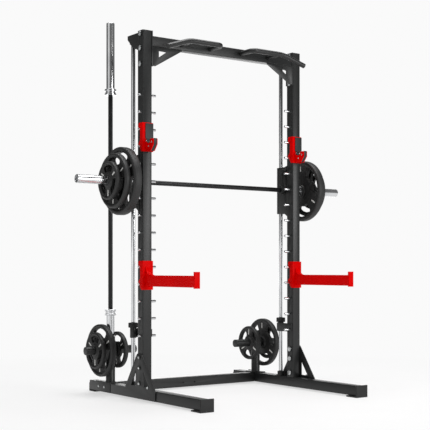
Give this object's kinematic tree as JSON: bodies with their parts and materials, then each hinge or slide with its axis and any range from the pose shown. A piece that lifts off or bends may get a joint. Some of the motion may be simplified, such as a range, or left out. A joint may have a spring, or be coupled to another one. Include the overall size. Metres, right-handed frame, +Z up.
{
  "type": "smith machine",
  "caption": "Smith machine frame with guided bar on two rods, rack pegs, J-hooks, spotter arms, safety stops, pull-up handles and plate and barbell storage.",
  "frame": {"origin": "on the floor, midway between the uprights and under the middle of the runners", "axes": "+Z up, +X to the right seen from the front, where the lifter stands and which faces -Y"},
  "size_m": [1.952, 1.254, 2.2704],
  "materials": {
    "black_coat": "satin textured powder coat",
    "red_coat": "smooth gloss powder coat",
    "chrome": "bright plated",
    "black_bar": "black oxide over knurled steel",
    "plate_rubber": "moulded matt rubber",
    "foot_rubber": "moulded matt rubber",
    "nylon": "machined matt nylon"
  },
  "bodies": {
    "frame": {"rear_crossbar": "black_coat", "top_beam": "black_coat", "runner_left": "black_coat", "runner_right": "black_coat", "foot_front_left": "foot_rubber", "foot_front_right": "foot_rubber", "foot_rear_left": "foot_rubber", "foot_rear_right": "foot_rubber", "base_plate_left": "black_coat", "base_plate_right": "black_coat", "upright_left": "black_coat", "upright_right": "black_coat", "pegs_left": "chrome", "pegs_right": "chrome", "beam_bracket_left": "black_coat", "beam_bracket_right": "black_coat", "pullup_handle_left": "black_coat", "pullup_handle_right": "black_coat", "guide_rod_left": "chrome", "guide_rod_right": "chrome", "rod_foot_left": "black_coat", "rod_foot_right": "black_coat", "rod_bracket_left": "black_coat", "rod_bracket_right": "black_coat", "storage_post_left": "black_coat", "storage_post_right": "black_coat"},
    "carriages": {"carriage_left": "black_coat", "carriage_right": "black_coat", "rod_bush_left": "nylon", "rod_bush_right": "nylon"},
    "smith_bar": {"smith_shaft": "black_bar", "smith_sleeve_left": "chrome", "smith_sleeve_right": "chrome", "rack_hook_left": "black_coat", "rack_hook_right": "black_coat"},
    "barbell": {"barbell_shaft": "black_bar", "barbell_sleeve_lower": "chrome", "barbell_sleeve_upper": "chrome"},
    "bar_plates_left": {"bar_plate_large_left": "plate_rubber", "bar_plate_middle_left": "plate_rubber", "bar_plate_small_left": "plate_rubber"},
    "stored_outer_left": {"stored_plate_large_left": "plate_rubber", "stored_plate_small_left": "plate_rubber"},
    "stored_inner_left": {"stored_plate_inner_left": "plate_rubber"},
    "j_hook_left": {"j_hook_left": "red_coat", "j_hook_liner_left": "nylon"},
    "spotter_arm_left": {"spotter_arm_left": "red_coat"},
    "safety_stop_left": {"safety_stop_left": "black_coat", "stop_bumper_left": "foot_rubber"},
    "bar_plates_right": {"bar_plate_large_right": "plate_rubber", "bar_plate_middle_right": "plate_rubber", "bar_plate_small_right": "plate_rubber"},
    "stored_outer_right": {"stored_plate_large_right": "plate_rubber", "stored_plate_small_right": "plate_rubber"},
    "stored_inner_right": {"stored_plate_inner_right": "plate_rubber"},
    "j_hook_right": {"j_hook_right": "red_coat", "j_hook_liner_right": "nylon"},
    "spotter_arm_right": {"spotter_arm_right": "red_coat"},
    "safety_stop_right": {"safety_stop_right": "black_coat", "stop_bumper_right": "foot_rubber"}
  },
  "joints": [
    {"name": "carriage_slide", "type": "slide", "parent": "frame", "child": "carriages", "axis": [0, 0, 1], "range_m": [-0.6, 0.5]},
    {"name": "bar_turn", "type": "hinge", "parent": "carriages", "child": "smith_bar", "pos_m": [0, 0.066, 1.274], "axis": [1, 0, 0], "range_deg": [0, 22]},
    {"name": "barbell_lift", "type": "slide", "parent": "frame", "child": "barbell", "axis": [0, 0, 1], "range_m": [0, 0.34]},
    {"name": "bar_plates_left_off", "type": "slide", "parent": "smith_bar", "child": "bar_plates_left", "axis": [-1, 0, 0], "range_m": [0, 0.34]},
    {"name": "stored_outer_left_off", "type": "slide", "parent": "frame", "child": "stored_outer_left", "axis": [-1, 0, 0], "range_m": [0, 0.16]},
    {"name": "stored_inner_left_off", "type": "slide", "parent": "frame", "child": "stored_inner_left", "axis": [1, 0, 0], "range_m": [0, 0.16]},
    {"name": "j_hook_left_unhook", "type": "slide", "parent": "frame", "child": "j_hook_left", "axis": [0, -0.7071, 0.7071], "range_m": [0, 0.2]},
    {"name": "spotter_arm_left_unhook", "type": "slide", "parent": "frame", "child": "spotter_arm_left", "axis": [0, -0.7071, 0.7071], "range_m": [0, 0.2]},
    {"name": "safety_stop_left_lift", "type": "slide", "parent": "frame", "child": "safety_stop_left", "axis": [0, 0, 1], "range_m": [0, 0.045]},
    {"name": "bar_plates_right_off", "type": "slide", "parent": "smith_bar", "child": "bar_plates_right", "axis": [1, 0, 0], "range_m": [0, 0.34]},
    {"name": "stored_outer_right_off", "type": "slide", "parent": "frame", "child": "stored_outer_right", "axis": [1, 0, 0], "range_m": [0, 0.16]},
    {"name": "stored_inner_right_off", "type": "slide", "parent": "frame", "child": "stored_inner_right", "axis": [-1, 0, 0], "range_m": [0, 0.16]},
    {"name": "j_hook_right_unhook", "type": "slide", "parent": "frame", "child": "j_hook_right", "axis": [0, -0.7071, 0.7071], "range_m": [0, 0.2]},
    {"name": "spotter_arm_right_unhook", "type": "slide", "parent": "frame", "child": "spotter_arm_right", "axis": [0, -0.7071, 0.7071], "range_m": [0, 0.2]},
    {"name": "safety_stop_right_lift", "type": "slide", "parent": "frame", "child": "safety_stop_right", "axis": [0, 0, 1], "range_m": [0, 0.045]}
  ]
}
